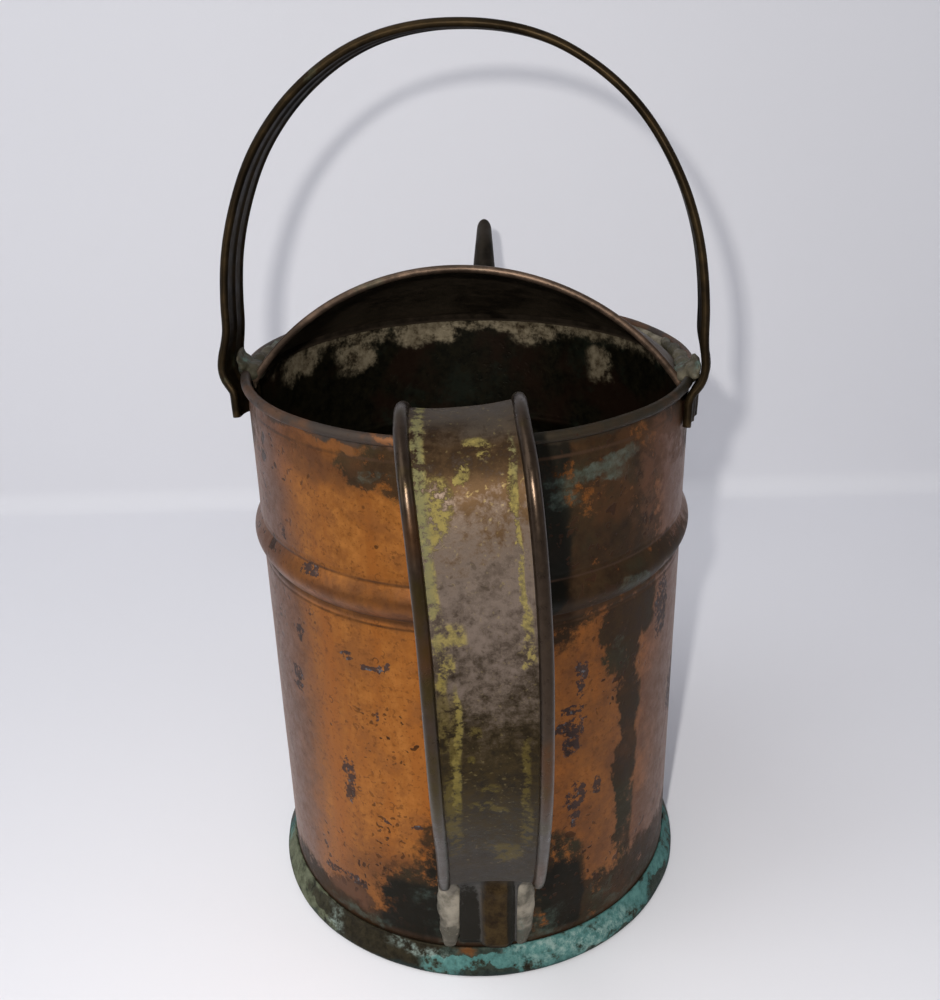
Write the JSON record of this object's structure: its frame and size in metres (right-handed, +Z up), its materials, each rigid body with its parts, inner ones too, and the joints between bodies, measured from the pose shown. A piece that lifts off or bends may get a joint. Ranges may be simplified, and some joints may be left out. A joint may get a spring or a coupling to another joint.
{
  "type": "open copper can with spout and bail",
  "caption": "Open metal can with a rolled rim and flared foot, half hood, fixed overhead bail, rear strap handle and a tapered pouring spout.",
  "frame": {"origin": "centre of the underside of the flat base, on the can's axis", "axes": "+Z up, +Y towards the spout, +X to the right seen from the rear handle"},
  "size_m": [0.134, 0.2804, 0.259],
  "materials": {
    "copper": "aged copper sheet, worn bright with dark oxide",
    "rim": "dark oxidised copper",
    "foot": "copper covered in verdigris",
    "strap": "aged brass with lacquer remains",
    "bail": "dark aged brass",
    "hood": "dark oxidised copper",
    "spout": "dark oxidised copper",
    "wire": "drawn iron wire",
    "solder": "dull grey soft solder"
  },
  "bodies": {
    "root": {"body_shell": "copper", "rim_wire": "wire", "base_disc": "rim", "foot_ring": "foot", "foot_wire": "wire", "hood": "hood", "hood_wire": "hood", "hood_solder": "solder", "bail_handle": "bail", "bail_solder_left": "solder", "bail_solder_right": "solder", "rear_handle": "strap", "handle_bead_left": "strap", "handle_bead_right": "strap", "tail_solder_left": "solder", "tail_solder_right": "solder", "tab_solder_left": "solder", "tab_solder_right": "solder", "spout": "spout", "spout_solder": "solder"}
  },
  "joints": []
}
